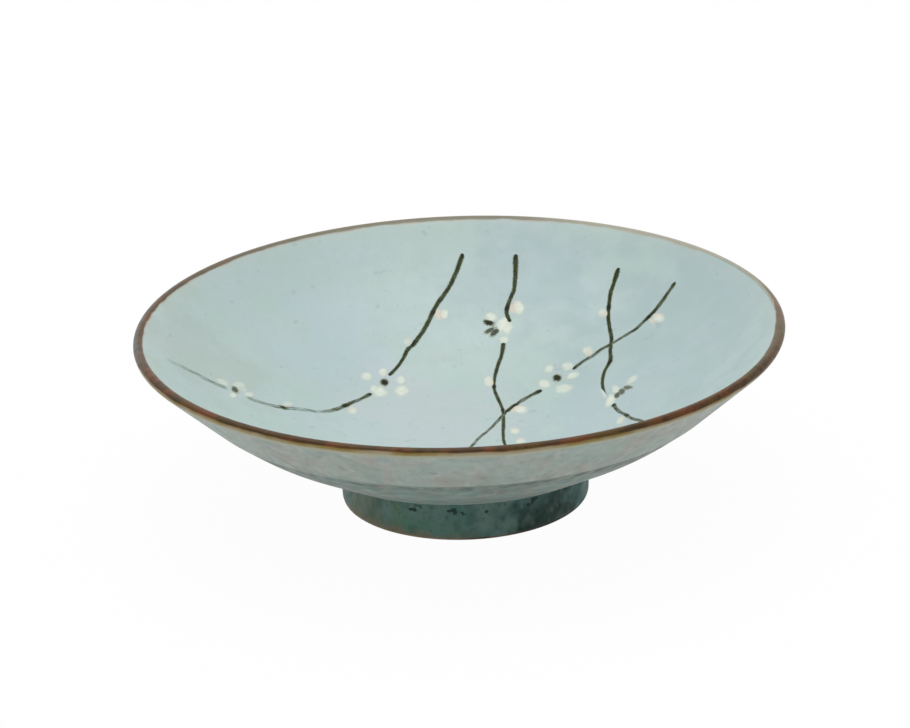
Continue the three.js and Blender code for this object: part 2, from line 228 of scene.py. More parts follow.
def formed(points):
    """The hand-thrown unevenness that all coats share. With r the radius over RIM_RADIUS and a the angle
    round the axis: height grows by WAVE_UP r^2 sin(2a + 0.6), and radius by WAVE_OUT r^2 sin(3a + 2). Both
    come in from height WAVE_START up to WAVE_FULL. The foot was trimmed a little off the axis: from height
    SHIFT_START down to SHIFT_FULL, x grows by up to FOOT_SHIFT."""
    x, y, z = points[..., 0], points[..., 1], points[..., 2]
    radius = np.hypot(x, y)
    angle = np.arctan2(y, x)
    reach = (radius / RIM_RADIUS) ** 2
    lift = np.clip((z - WAVE_START) / (WAVE_FULL - WAVE_START), 0, 1)
    wider = 1 + WAVE_OUT * reach * np.sin(3 * angle + 2) * lift / np.maximum(radius, 1)
    taller = WAVE_UP * reach * np.sin(2 * angle + 0.6) * lift
    aside = FOOT_SHIFT * np.clip((SHIFT_START - z) / (SHIFT_START - SHIFT_FULL), 0, 1)
    return np.stack([x * wider + aside, y * wider, z + taller], axis=-1)


def evenly(line, step):
    """The same line with points at equal steps of its length."""
    length = np.append(0, np.cumsum(np.linalg.norm(np.diff(line, axis=0), axis=1)))
    at = np.linspace(0, length[-1], max(2, round(length[-1] / step) + 1))
    return np.column_stack([np.interp(at, length, line[:, k]) for k in range(line.shape[1])])


def rounded(corners, radii, step):
    """Straight runs between corners, in (radius, height). At each inner corner an arc that touches both
    runs: its ends lie at radius times tan(half the turn) from the corner."""
    corners = np.array(corners, float)
    pieces = [corners[:1]]
    for before, corner, after, radius in zip(corners[:-2], corners[1:-1], corners[2:], radii):
        into = (corner - before) / np.linalg.norm(corner - before)
        out = (after - corner) / np.linalg.norm(after - corner)
        turn = math.atan2(into[0] * out[1] - into[1] * out[0], into @ out)
        start = corner - into * radius * math.tan(abs(turn) / 2)
        side = np.array((-into[1], into[0])) * np.sign(turn)
        swing = np.linspace(0, abs(turn), ARC_POINTS)[:, None]
        pieces.append(start + radius * (np.sin(swing) * into + (1 - np.cos(swing)) * side))
    pieces.append(corners[-1:])
    return evenly(np.vstack(pieces), step)


def add_mesh(name, points, faces, material, marks=None):
    """A mesh in metres from points in millimetres, with its doubles merged and its faces outwards. Marks
    are three numbers at each point that a painted material reads, as the attribute called slip."""
    mesh = bpy.data.meshes.new(name)
    mesh.from_pydata(points * MM, [], faces.tolist())
    if marks is not None:
        mark = mesh.attributes.new("slip", "FLOAT_VECTOR", "POINT")
        mark.data.foreach_set("vector", marks.astype(np.float32).ravel())
    work = bmesh.new()
    work.from_mesh(mesh)
    bmesh.ops.remove_doubles(work, verts=work.verts, dist=1e-7)
    bmesh.ops.recalc_face_normals(work, faces=work.faces)
    work.to_mesh(mesh)
    work.free()
    mesh.shade_smooth()
    mesh.materials.append(material)
    piece = bpy.data.objects.new(name, mesh)
    bpy.context.scene.collection.objects.link(piece)
    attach(piece, "root")
    return piece


def grid_faces(rows, columns):
    """Quads between neighbours of a grid that closes on itself across its columns."""
    row, column = np.meshgrid(np.arange(rows - 1), np.arange(columns), indexing="ij")
    beside = (column + 1) % columns
    here, below = row * columns, (row + 1) * columns
    return np.stack([here + column, here + beside, below + beside, below + column], axis=-1).reshape(-1, 4)


def turned(name, outline, material, slot, *nodes):
    """A closed outline carried round the axis: (r cos a, r sin a, h) for a over the full turn."""
    angle = np.linspace(0, 2 * math.pi, TURNS, endpoint=False)
    radius, height = outline[:, :1], outline[:, 1:]
    points = np.stack([radius * np.cos(angle), radius * np.sin(angle), height + 0 * angle], axis=-1)
    piece = add_mesh(name, formed(points).reshape(-1, 3), grid_faces(len(outline), TURNS), material)
    piece.data.set_sharp_from_angle(angle=SHARP_TURN)
    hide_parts(*nodes)


ring_outer = rounded(
    [(BASE_RADIUS - 3, 0), (BASE_RADIUS - 0.25, 0), (BASE_RADIUS - 0.15, BARE_EDGE + 0.3),
     (FOOT_RADIUS - FOOT_COAT, FOOT_TOP)],
    [WORN_CORNER, SKIN_BEND], step=0.3)
ring_inner = rounded(
    [(RECESS_RADIUS + FOOT_COAT, FOOT_TOP), (RECESS_RADIUS + 0.2, BARE_EDGE + 0.3),
     (RECESS_RADIUS + 0.35, 0), (RECESS_RADIUS + 2.6, 0)],
    [SKIN_BEND, WORN_CORNER], step=0.3)
ring_outline = np.vstack([ring_outer, ring_inner, ring_outer[:1]])
turned("standing_ring", ring_outline, clay, "fired_clay", "foot_ring")

# The glaze inside: a pale celadon poured over the bowl, blue grey where it lies thick, greener where it
# is thin, with a few iron specks from the clay, and painted shade darkening the walls. It stops at the brown
# lip.

GLAZE = 0.6
INSIDE_KNOTS = np.array([(0, 20.5), (32, 21.3), (58.34, 27.74), (97.52, 49.3), (121.72, 69.53)])
KNOT_ACROSS_AXIS = (-32, 21.3)
CURVE_POINTS = 40
LIP_MIDDLE = np.array((123.0, 68.0))
LIP_ROUND = 2.0
LIP_INNER = math.radians(130)
LIP_OUTER = math.radians(-47.3)
RIM_COAT_END = math.radians(-12)


def curve_through(points, before, after, step):
    """A Catmull-Rom curve, at even steps. Between b and c, with neighbours a and d and w from 0 to 1:
    (2b + (c - a)w + (2a - 5b + 4c - d)w^2 + (3b - a - 3c + d)w^3) / 2."""
    line = np.vstack([before, points, after])
    a, b, c, d = line[:-3], line[1:-2], line[2:-1], line[3:]
    w = np.linspace(0, 1, CURVE_POINTS, endpoint=False)[:, None, None]
    dense = (2 * b + (c - a) * w + (2 * a - 5 * b + 4 * c - d) * w**2 + (3 * b - a - 3 * c + d) * w**3) / 2
    dense = np.vstack([dense.transpose(1, 0, 2).reshape(-1, points.shape[1]), points[-1:]])
    return evenly(dense, step)


def lip_arc(start, end, step):
    """Points on the round of the lip: middle + round (cos t, sin t) for t from start to end."""
    t = np.linspace(start, end, round(abs(end - start) * LIP_ROUND / step) + 1)[:, None]
    return LIP_MIDDLE + LIP_ROUND * np.hstack([np.cos(t), np.sin(t)])


def coat_outline(face, depth=GLAZE):
    """A coat under a stretch of the skin: the face, and back along the same line moved inwards by the
    depth, with a third as many points."""
    along = np.gradient(face, axis=0)
    along /= np.linalg.norm(along, axis=1)[:, None]
    back = face + depth * np.column_stack([along[:, 1], -along[:, 0]])
    back[:, 0] = np.where(face[:, 0] < 1e-6, 0, back[:, 0])
    keep = np.linspace(0, len(face) - 1, max(6, len(face) // 3)).astype(int)
    return np.vstack([face, back[keep][::-1], face[:1]])


def radius_of(tree):
    """Distance from the axis in millimetres, from Object coordinates flattened onto the foot's plane."""
    return combine(tree, "LENGTH", place_of(tree, (1, 1, 0)))


def height_of(tree):
    """Height over the foot's plane in millimetres, from Object coordinates."""
    return parts_of(tree, place_of(tree))[2]


# The pools on the floor are glaze. The three darker ones on the right, far and left walls are painted shade.
INSIDE_POOLS_AND_WALL_SHADE = [
    ((100, 30, 48), 95, (169, 189, 190), 0.8), ((-49, 61, 38), 34, (182, 200, 205), 0.8),
    ((-12, 24, 21), 44, (189, 199, 202), 0.7), ((28, 98, 52), 42, (168, 188, 190), 0.75),
    ((-104, 14, 54), 44, (173, 187, 180), 0.6), ((62, 8, 29), 34, (182, 198, 203), 0.5)]


def add_pools_and_shade(tree, tone, pools, waver_size):
    """Pools of glaze, and pools of painted light and shade, each with its middle, reach, colour and share.
    A pool fades from its middle as a smooth step of the distance over the reach, which a cloud makes uneven."""
    place = place_of(tree)
    uneven = waver(tree, place, waver_size, 0.32)
    for middle, reach, colour, share in pools:
        away = combine(tree, "DISTANCE", place, middle)
        away = calculate(tree, "ADD", calculate(tree, "DIVIDE", away, reach), uneven)
        tone = blend(tree, spread(tree, away, 1.0, 0.25, 0, share), tone, paint(*colour))
    return tone


def inside_glaze_colour(tree):
    """Grey green, with pools where the glaze ran thicker and turned blue or lilac, darker pools of painted
    shade on the left, far and right walls, faint grey spots where gas broke through, and iron specks."""
    tone = two_tones(tree, 38, paint(182, 201, 200), paint(180, 200, 195))
    tone = add_pools_and_shade(tree, tone, INSIDE_POOLS_AND_WALL_SHADE, 17)
    tone = layer(tree, tone, paint(186, 199, 204), 13, 0.52, 0.7, 0.3, shift=(31, -17, 5))
    tone = layer(tree, tone, paint(172, 192, 184), 9, 0.55, 0.72, 0.25, shift=(3, 11, 8))
    tone = layer(tree, tone, paint(166, 184, 178), 2.2, 0.35, 0.7, 0.12, detail=4)
    tone = layer(tree, tone, paint(152, 170, 168), 4.2, 0.68, 0.78, 0.4, shift=(6, 40, 2), detail=1)
    edge = spread(tree, radius_of(tree), 114, 121, 0, 0.1)
    tone = blend(tree, edge, tone, paint(186, 190, 172))
    return layer(tree, tone, paint(124, 134, 120), 1.5, 0.75, 0.82, 0.3, shift=(9, 4, 2), detail=1)


def lip_colour(tree, far):
    """Iron brown, red brown and near black in runs along the lip, paler on the far side as a painted
    reflection.
    """
    tone = two_tones(tree, 13, paint(82, 60, 25), paint(100, 56, 28), 0.4, 0.62, 3)
    tone = layer(tree, tone, paint(56, 42, 22), 10, 0.44, 0.62, 0.8, shift=(3, 8, 1))
    tone = layer(tree, tone, paint(36, 26, 12), 3, 0.6, 0.74, 0.6, detail=2)
    crest = spread(tree, height_of(tree), 69.5, 69.9, 0, 0.12)
    return blend(tree, far, blend(tree, crest, tone, paint(138, 122, 100)), paint(142, 140, 123))


def lip_tone(tree, ground):
    """The brown over a ground glaze, its edges wavering. Inside it starts near radius 121.3 behind a pink
    fringe. Outside it ends near height 68.8, or a millimetre lower on the right, in tan that thins to a
    pale green line near 66.5. On the far side it is paler, as a painted reflection that is palest at the
    far right, and at the right there it starts further out. At the left end its outside is grey, as
    painted shade."""
    place = place_of(tree)
    radius = radius_of(tree)
    right, behind, high = parts_of(tree, place)
    reach = calculate(tree, "ADD", radius, waver(tree, place, 8, 0.2))
    drop = calculate(tree, "ADD", high, waver(tree, place, 17, 0.25, 4))
    drop = calculate(tree, "ADD", drop, spread(tree, right, -25, 12, 0, 0.4))
    drop = calculate(tree, "ADD", drop, spread(tree, right, 55, 80, 0, 0.6))
    # Painted reflection: far grows towards the far side, where the lip is painted paler.
    aslant = calculate(tree, "ADD", calculate(tree, "MULTIPLY", right, 0.25), behind)
    far = spread(tree, aslant, -30, 135, 0, 0.8)
    aside = calculate(tree, "MULTIPLY", spread(tree, right, 90, 116, 0, 1.6), spread(tree, behind, -15, 20))
    reach = calculate(tree, "SUBTRACT", reach, aside)
    mottle = cloud(tree, place_of(tree, shift=(8, 3, 6)), 13, 3)
    amber = blend(tree, spread(tree, mottle, 0.36, 0.64), paint(142, 120, 62), paint(164, 150, 122))
    fringe = calculate(tree, "MULTIPLY", spread(tree, mottle, 0.35, 0.6, 0.3, 1), spread(tree, high, 66, 68))
    fringe = calculate(tree, "MULTIPLY", fringe, spread(tree, reach, 120.5, 121.3, 0, 0.55))
    tone = blend(tree, fringe, ground, paint(186, 164, 142))
    outside = spread(tree, radius, 122, 123)
    green = calculate(tree, "MULTIPLY", outside, spread(tree, drop, 66.0, 67.2, 0, 0.85))
    tone = blend(tree, green, tone, paint(172, 173, 148))
    tan = calculate(tree, "MULTIPLY", outside, spread(tree, drop, 67.3, 68.3, 0, 0.95))
    tone = blend(tree, tan, tone, amber)
    brown = calculate(tree, "MULTIPLY", spread(tree, reach, 121.0, 121.6), spread(tree, drop, 68.4, 69.2))
    # Painted reflection: the lip turns palest at the far right.
    far_right_painted_reflection = spread(tree, calculate(tree, "ADD", right, behind), 140, 170, 0, 0.7)
    tone = blend(tree, brown, tone, blend(tree, far_right_painted_reflection, lip_colour(tree, far), paint(182, 180, 166)))
    # Painted shade: the outside of the lip turns grey at the left end.
    grey = calculate(tree, "MULTIPLY", spread(tree, right, -50, -105), spread(tree, behind, -50, -10))
    grey = calculate(tree, "MULTIPLY", grey, spread(tree, radius, 122.4, 123.6, 0, 0.8))
    return blend(tree, grey, tone, paint(96, 96, 88))


def inside_material():
    """The pale celadon, with the brown where it reaches the lip."""
    material, tree, shader = new_material("pale_celadon_glaze")
    tone = lip_tone(tree, inside_glaze_colour(tree))
    fire(tree, shader, tone, 6, 0.34, 0.46, 1.6, 0.05, shine=0.4)
    return material


inside_face = curve_through(INSIDE_KNOTS, KNOT_ACROSS_AXIS, INSIDE_KNOTS[-1], step=1.1)
turned("poured_inside_glaze", coat_outline(inside_face), inside_material(), "inside_glaze", "inside_glaze")

# The glaze outside the wall: the same celadon, thinner and mottled, with clay showing pink through it,
# pale grains and short streaks left by the potter's rib. It runs from the lip to the soft crease.

CREASE = (101.5, 45.5)
BELLY_CROWN = (88.27, 35.39)
SHOULDER = (62.4, 21.2)
CREASE_ROUND, BELLY_ROUND, SHOULDER_ROUND, BASE_ROUND = 16, 90, 8, 1.6
LIP_STEP = 0.12
AT_WALL = 112


def wall_colour(tree):
    """Grey green mottled with pinkish clay showing through, pale grains and darker level streaks."""
    tone = two_tones(tree, 24, paint(152, 168, 161), paint(158, 166, 158), 0.38, 0.62)
    tone = layer(tree, tone, paint(158, 149, 140), 8, 0.46, 0.66, 0.55, (1, 1, 0.7), wrap=AT_WALL)
    tone = layer(tree, tone, paint(132, 155, 147), 9, 0.5, 0.68, 0.6, (1, 1, 0.7), (7, 21, 3), wrap=AT_WALL)
    tone = layer(tree, tone, paint(176, 186, 180), 6, 0.52, 0.7, 0.4, (1, 1, 0.8), (1, 6, 12), wrap=AT_WALL)
    tone = layer(tree, tone, paint(122, 130, 122), 4, 0.58, 0.72, 0.5, (1, 1, 1.4), (2, 5, 9), wrap=AT_WALL)
    tone = layer(tree, tone, paint(134, 143, 135), 1.6, 0.5, 0.74, 0.3, (1, 1, 0.7), wrap=AT_WALL)
    return layer(tree, tone, paint(88, 86, 76), 1.4, 0.7, 0.78, 0.6, shift=(14, 2, 8), detail=1)


def wall_material():
    """The mottled glaze of the wall, with the brown where it reaches the lip."""
    material, tree, shader = new_material("mottled_wall_glaze")
    fire(tree, shader, lip_tone(tree, wall_colour(tree)), 4, 0.42, 0.62, 1.1, 0.12, shine=0.35)
    return material


outer_line = rounded(
    [LIP_MIDDLE + LIP_ROUND * np.array((math.cos(LIP_OUTER), math.sin(LIP_OUTER))), CREASE, BELLY_CROWN,
     SHOULDER, (FOOT_RADIUS, FOOT_TOP), (BASE_RADIUS, BARE_EDGE + 0.1)],
    [CREASE_ROUND, BELLY_ROUND, SHOULDER_ROUND, BASE_ROUND], step=0.5)
crease_row = int(np.argmin(np.hypot(*(outer_line - CREASE).T)))
foot_row = int(np.argmin(np.hypot(*(outer_line - (FOOT_RADIUS, FOOT_TOP)).T)))
under_lip = lip_arc(RIM_COAT_END, LIP_OUTER, LIP_STEP)
wall_face = np.vstack([under_lip[:-1], outer_line[:crease_row + 1]])
turned("mottled_wall", coat_outline(wall_face), wall_material(), "wall_glaze", "wall_glaze")

# The glaze under the crease: a darker, smoother band where the coat ran thick and even, with iron
# showing in dashes along the crease, a thin band of painted shade just under it, faint throwing lines
# and a painted highlight as a light line where it meets the foot.

AT_BELLY = 84
AT_CREASE = 98


def band(tree, value, start, full, fading, end):
    """A share that rises from 0 at the start to 1 where it is full, and falls to 0 from fading to end."""
    return calculate(tree, "MULTIPLY", spread(tree, value, start, full), spread(tree, value, end, fading))


def belly_material():
    """Dark grey green in level streaks. Dashes and a thin band of painted shade lie below the crease, and a
    painted highlight as a light line above the foot.
    """
    material, tree, shader = new_material("dark_belly_glaze")
    high = height_of(tree)
    tone = two_tones(tree, 14, paint(98, 127, 119), paint(108, 122, 113), 0.38, 0.62)
    tone = layer(tree, tone, paint(120, 120, 108), 6, 0.5, 0.66, 0.6, (1, 1, 0.5), wrap=AT_BELLY)
    tone = layer(tree, tone, paint(118, 144, 135), 5, 0.54, 0.7, 0.5, (1, 1, 0.7), (6, 1, 7), wrap=AT_BELLY)
    tone = layer(tree, tone, paint(126, 143, 134), 1.6, 0.52, 0.7, 0.3, (0.09, 0.09, 1), (1, 6, 12))
    tone = layer(tree, tone, paint(80, 98, 91), 1.8, 0.54, 0.7, 0.35, (0.1, 0.1, 1), (2, 5, 9))
    # Painted shade: a thin darker band just under the crease.
    crease_painted_shade = calculate(tree, "MULTIPLY", band(tree, high, 43.8, 44.8, 45.2, 45.8), 0.15)
    tone = blend(tree, crease_painted_shade, tone, paint(76, 96, 88))
    dash = spread(tree, cloud(tree, wrapped(tree, AT_CREASE, 1.8, (4, 9, 0)), 7, 3), 0.43, 0.54)
    dash = calculate(tree, "MULTIPLY", dash, band(tree, high, 41.0, 43.0, 44.1, 45.1))
    tone = blend(tree, calculate(tree, "MULTIPLY", dash, 0.75), tone, paint(58, 80, 72))
    # Painted highlight: a light band along the rounded shoulder above the foot.
    line = calculate(tree, "MULTIPLY", band(tree, high, 20.2, 21.0, 22.8, 24.2), 0.75)
    tone = blend(tree, line, tone, paint(150, 172, 163))
    fire(tree, shader, tone, 5, 0.4, 0.58, 1.3, 0.1, shine=0.3)
    return material


belly_face = outer_line[crease_row:foot_row + 1]
turned("dark_belly", coat_outline(belly_face), belly_material(), "belly_glaze", "belly_glaze")

# The glaze on the foot: dark teal, pooled against the belly in black spots and run down the ring in
# streaks, with painted shade darkening one side. It stops in a soft roll above the standing edge, and lines
# the recess.

RECESS_ROUND = 2.5
# Painted light and shade: the dark pools on the right paint the shade there, and the pale ones at the front
# left paint the light falling on that side.
FOOT_POOLS_LIGHT_AND_SHADE = [
    ((48, 0, 12), 78, (70, 116, 114), 0.85), ((34, -38, -2), 30, (34, 52, 46), 0.95),
    ((-13, -47, 3), 18, (92, 138, 120), 0.5), ((-24, -42, 6), 9, (86, 138, 106), 0.45),
    ((-40, -28, 5), 22, (124, 134, 112), 0.75)]


def foot_material():
    """Teal, with painted shade darkest at the right and painted light at the front left, black spots under
    the belly outside, and worn thin at the left of the standing edge."""
    material, tree, shader = new_material("dark_teal_foot_glaze")
    place = place_of(tree)
    right, _, high = parts_of(tree, place)
    tone = two_tones(tree, 16, paint(112, 142, 138), paint(116, 143, 134))
    tone = add_pools_and_shade(tree, tone, FOOT_POOLS_LIGHT_AND_SHADE, 9)
    tone = layer(tree, tone, paint(66, 96, 88), 6, 0.42, 0.7, 0.6, (1, 1, 0.5), (5, 1, 0))
    tone = layer(tree, tone, paint(122, 150, 140), 5, 0.5, 0.76, 0.45, (1, 1, 0.7), (1, 9, 2))
    tone = layer(tree, tone, paint(50, 76, 68), 1.8, 0.52, 0.74, 0.45, shift=(4, 4, 4))
    spot = spread(tree, cloud(tree, place_of(tree, (1, 1, 1.3), (2, 7, 1)), 4.6, 1), 0.58, 0.64)
    spot = calculate(tree, "MULTIPLY", spot, spread(tree, radius_of(tree), 45, 46.5, 0, 0.9))
    spot = calculate(tree, "MULTIPLY", spot, band(tree, high, 10.2, 11.4, 13.4, 14.6))
    tone = blend(tree, spot, tone, paint(26, 46, 38))
    torn = calculate(tree, "ADD", high, waver(tree, place, 9, 1.2, 2))
    thin = calculate(tree, "MULTIPLY", spread(tree, torn, 3.4, 1.2, 0, 0.7), spread(tree, right, 14, -14))
    tone = blend(tree, thin, tone, paint(138, 130, 108))
    fire(tree, shader, tone, 4, 0.46, 0.64, 1.2, 0.1, shine=0.15)
    return material


foot_glaze = foot_material()
foot_end = [(BASE_RADIUS - 0.05, BARE_EDGE + 0.2), (BASE_RADIUS - 0.22, BARE_EDGE + 0.05)]
foot_face = np.vstack([outer_line[foot_row:-2], foot_end])
turned("foot_outside_glaze", coat_outline(foot_face, FOOT_COAT), foot_glaze, "foot_glaze", "foot_glaze")

recess_face = rounded(
    [(RECESS_RADIUS + 0.22, BARE_EDGE + 0.05), (RECESS_RADIUS, BARE_EDGE + 0.4),
     (RECESS_RADIUS, RECESS_CEILING), (0, RECESS_CEILING)],
    [0.3, RECESS_ROUND], step=0.8)
turned("foot_recess_glaze", coat_outline(recess_face, FOOT_COAT), foot_glaze, "foot_glaze", "recess_glaze")

# The brown lip: an iron glaze brushed over the round of the lip before the last firing. It pools and
# breaks along the edge, so its colour runs from rust to near black, and it is glossier than the rest.


def lip_material():
    """The brown of the lip, with what shows of the wall's glaze at its edges."""
    material, tree, shader = new_material("iron_brown_lip_glaze")
    fire(tree, shader, lip_tone(tree, wall_colour(tree)), 3, 0.3, 0.46, 1.2, 0.06, shine=0.15)
    return material


lip_face = lip_arc(LIP_INNER, RIM_COAT_END, LIP_STEP)
turned("brushed_lip", coat_outline(lip_face), lip_material(), "rim_glaze", "rim_glaze")

# The branches: iron slip brushed onto the raw glaze with a pointed brush, in strokes that swell at each
# knot and run dry at their tips. They were fired into the glaze, so their edges melt into it.

PAINT_RADIUS = 121.71
SLOPE_REACH = 1.5
SUNK_EDGE = 0.03
SUNK_BACK = 0.12
height_line = curve_through(INSIDE_KNOTS, KNOT_ACROSS_AXIS, INSIDE_KNOTS[-1], step=0.5)


def plan_of(places):
    """Places as percent of the painted radius and angle in degrees, turned into x and y in mm."""
    places = np.array(places, float)
    angle = np.radians(places[:, 1])
    return PAINT_RADIUS * places[:, :1] / 100 * np.column_stack([np.cos(angle), np.sin(angle)])


def inside_height(radius):
    """Height of the inside glaze at a radius, both in millimetres."""
    return np.interp(radius, height_line[:, 0], height_line[:, 1])


def on_glaze(plan, lift):
    """Points over the plan that stand off the glaze by lift, square to it: (x, y, h(r)) + lift n(r)."""
    radius = np.linalg.norm(plan, axis=-1)
    nearer = np.maximum(radius - SLOPE_REACH, 0)
    slope = (inside_height(radius + SLOPE_REACH) - inside_height(nearer)) / (radius + SLOPE_REACH - nearer)
    outward = plan / np.maximum(radius, 1e-6)[..., None]
    normal = np.concatenate([-slope[..., None] * outward, np.ones((*slope.shape, 1))], axis=-1)
    normal /= np.linalg.norm(normal, axis=-1)[..., None]
    foot = np.concatenate([plan, inside_height(radius)[..., None]], axis=-1)
    return formed(foot + lift[..., None] * normal)


def add_painted(node, rows, marks, material):
    """A closed dab or ribbon of slip from rings of points, with its marks, in place of a node."""
    faces = grid_faces(*rows.shape[:2])
    piece = add_mesh("painted_" + node, rows.reshape(-1, 3), faces, material, marks)
    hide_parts(node)
    return piece


def slip_marks(tree):
    """The three marks of a painted piece: the way along, the way across and the ink of a stroke, or the
    ring, the side and the thickness of a dab."""
    attribute = tree.nodes.new("ShaderNodeAttribute")
    attribute.attribute_name = "slip"
    return attribute.outputs["Vector"]


def iron_material():
    """Olive brown, near black where the brush rested, thin and green where it ran dry, in a pale halo
    where the slip drew iron out of the glaze."""
    material, tree, shader = new_material("iron_slip_brushwork")
    place = place_of(tree)
    marks = slip_marks(tree)
    _, across, ink = parts_of(tree, marks)
    grain = tree.nodes.new("ShaderNodeMapping")
    grain.inputs["Scale"].default_value = (0.25, 2.5, 0)
    tree.links.new(marks, grain.inputs["Vector"])
    side = calculate(tree, "ADD", calculate(tree, "ABSOLUTE", across), waver(tree, place, 0.8, 0.1, 2))
    dry = calculate(tree, "ADD", ink, waver(tree, grain.outputs["Vector"], 1, 0.25))
    cover = calculate(tree, "MULTIPLY", spread(tree, side, 0.95, 0.42), spread(tree, dry, 0.0, 1.0))
    tone = two_tones(tree, 2.4, paint(50, 60, 18), paint(34, 42, 10), detail=3)
    tone = blend(tree, spread(tree, ink, 1.05, 1.6), tone, paint(22, 24, 6))
    tone = blend(tree, spread(tree, ink, 0.8, 0.3), tone, paint(80, 96, 80))
    halo = calculate(tree, "MULTIPLY", spread(tree, side, 1.0, 0.72, 0, 0.3), spread(tree, ink, 0.3, 0.9))
    ground = blend(tree, halo, inside_glaze_colour(tree), paint(196, 202, 168))
    fire(tree, shader, blend(tree, cover, ground, tone), 3, 0.42, 0.56, 1.0, 0.03, shine=0.12)
    return material


iron_slip = iron_material()
RIBBON_COLUMNS = 15
RIBBON_STEP = 0.4
RIBBON_SPREAD = 1.5
STROKE_HEIGHT = 0.12
BEAT = 3
BEAT_CHANGE = 0.07
KNOT_REACH, KNOT_SWELL, KNOT_INK = 1.3, 0.3, 0.6
REST_REACH, REST_INK = 1.6, 0.4
chance = np.random.default_rng(7)


def brush_stroke(node, route, widths, knots=(), fades=(0, 0), loads=(1.0,)):
    """A ribbon along a smooth route. With s the way along and v from -1 to 1 across: the point is
    route(s) + v w(s) left(s), it stands STROKE_HEIGHT (1 - v^2) off the glaze, and w rounds off at the
    ends as the square root of 1 - (1 - s / w)^2. The widths are those of the visible line, which fades
    out over the rest of the ribbon, and the pressure changes a little at every beat. Loads say how full
    the brush was along the stroke, knots where it rested, as shares of the stroke's length, and a fade
    is the length over which it ran dry at an end."""
    points = plan_of(route)
    line = curve_through(points, 2 * points[0] - points[1], 2 * points[-1] - points[-2], RIBBON_STEP)
    along = np.append(0, np.cumsum(np.linalg.norm(np.diff(line, axis=0), axis=1)))
    share = along / along[-1]
    half = np.interp(share, np.linspace(0, 1, len(widths)), widths) / 2 * RIBBON_SPREAD
    beats = np.arange(0, along[-1] + 2 * BEAT, BEAT)
    half = half * (1 + np.interp(along, beats, chance.normal(0, BEAT_CHANGE, len(beats))))
    ink = np.interp(share, np.linspace(0, 1, len(loads)), loads)
    for knot in knots:
        bulge = np.exp(-(((share - knot) * along[-1] / KNOT_REACH) ** 2))
        half = half + KNOT_SWELL * bulge
        ink = ink + KNOT_INK * bulge
    for fade, way in zip(fades, (along, along[-1] - along)):
        if fade:
            ink = ink * np.clip(way / fade, 0, 1) ** 0.7
        else:
            near = np.clip(way / half, 0, 1)
            half = half * np.sqrt(np.maximum(1 - (1 - near) ** 2, 0))
            ink = ink + REST_INK * np.exp(-((way / REST_REACH) ** 2))
    tangent = np.gradient(line, axis=0)
    tangent /= np.linalg.norm(tangent, axis=1)[:, None]
    left = np.column_stack([-tangent[:, 1], tangent[:, 0]])
    over = np.linspace(-1, 1, RIBBON_COLUMNS)
    under = over[::-1][1:-1]
    across = np.concatenate([over, under])
    lift = np.concatenate([STROKE_HEIGHT * (1 - over**2) - SUNK_EDGE, np.full(len(under), -SUNK_BACK)])
    plan = line[:, None] + (half[:, None] * across)[..., None] * left[:, None]
    crown = np.clip(half / half.max(), 0.05, 1)[:, None]
    rows = on_glaze(plan, np.where(lift > 0, lift * crown, lift + 0 * crown))
    ends = [row.mean(1, keepdims=True) + 0 * row for row in (rows[:1], rows[-1:])]
    marks = np.stack(np.broadcast_arrays(along[:, None], across, ink[:, None]), axis=-1)
    rows = np.concatenate([ends[0], rows, ends[1]])
    marks = np.concatenate([marks[:1], marks, marks[-1:]])
    add_painted(node, rows, marks, iron_slip)


brush_stroke(
    "left_branch_top",
    [(90, 88.5), (86.6, 89.4), (83.4, 90.4), (80.2, 91.6), (77, 93.2), (74, 95.1), (70.6, 96.9), (67, 98.7),
     (63.7, 100.9), (60.6, 103.6), (57.9, 107), (54.5, 110), (51.5, 113.8), (49, 118.6)],
    [1.85, 1.85, 1.7, 1.7, 1.7, 1.8, 1.45, 1.45], knots=(0.42, 0.685))
brush_stroke(
    "left_branch_middle",
    [(44.1, 131.4), (43.5, 138.4), (43.9, 144.6), (44.5, 152), (46.1, 158.3), (48.7, 162.9), (51.6, 165.6),
     (54.7, 168.9), (57.9, 172.3), (61.3, 174.7), (64.4, 176), (68.6, 177.5)],
    [1.75, 1.55, 1.8, 1.95, 1.8, 1.95, 2.1, 2.3, 2.3], knots=(0.257, 0.75), fades=(0, 1),
    loads=(0.84, 0.76, 0.86, 0.66, 0.48, 0.48, 0.54, 0.48, 0.54))
brush_stroke(
    "left_branch_tip",
    [(74.5, 178), (77.9, 179), (80.8, 179.3), (84, 179.7), (87.2, 180.7), (90.1, 181.9), (92.6, 182.8)],
    [2.7, 2.6, 2.6, 2.4, 2.0], fades=(1, 7), loads=(0.52, 0.46, 0.42, 0.38, 0.32))
brush_stroke(
    "middle_branch_top",
    [(89.9, 77.1), (85.9, 76.6), (82, 76.2), (78.3, 76), (74.7, 76.5), (70.5, 76.7), (66.5, 75)],
    [1.9, 2.05, 1.75, 1.7, 1.8, 1.5, 1.6], knots=(0.764,))
brush_stroke(
    "middle_branch_trunk",
    [(59, 75.5), (54.3, 75), (50, 75.3), (44.9, 75.2), (39.1, 73.6), (33.5, 68.8), (27.3, 60.5),
     (20.5, 48.7), (14.8, 26.9), (13.9, -13.6), (26, -50)],
    [1.85, 1.6, 1.1, 1.45, 1.1, 1.5, 1.2, 1.2, 1.1, 1.0], knots=(0.246, 0.44), fades=(0, 16))
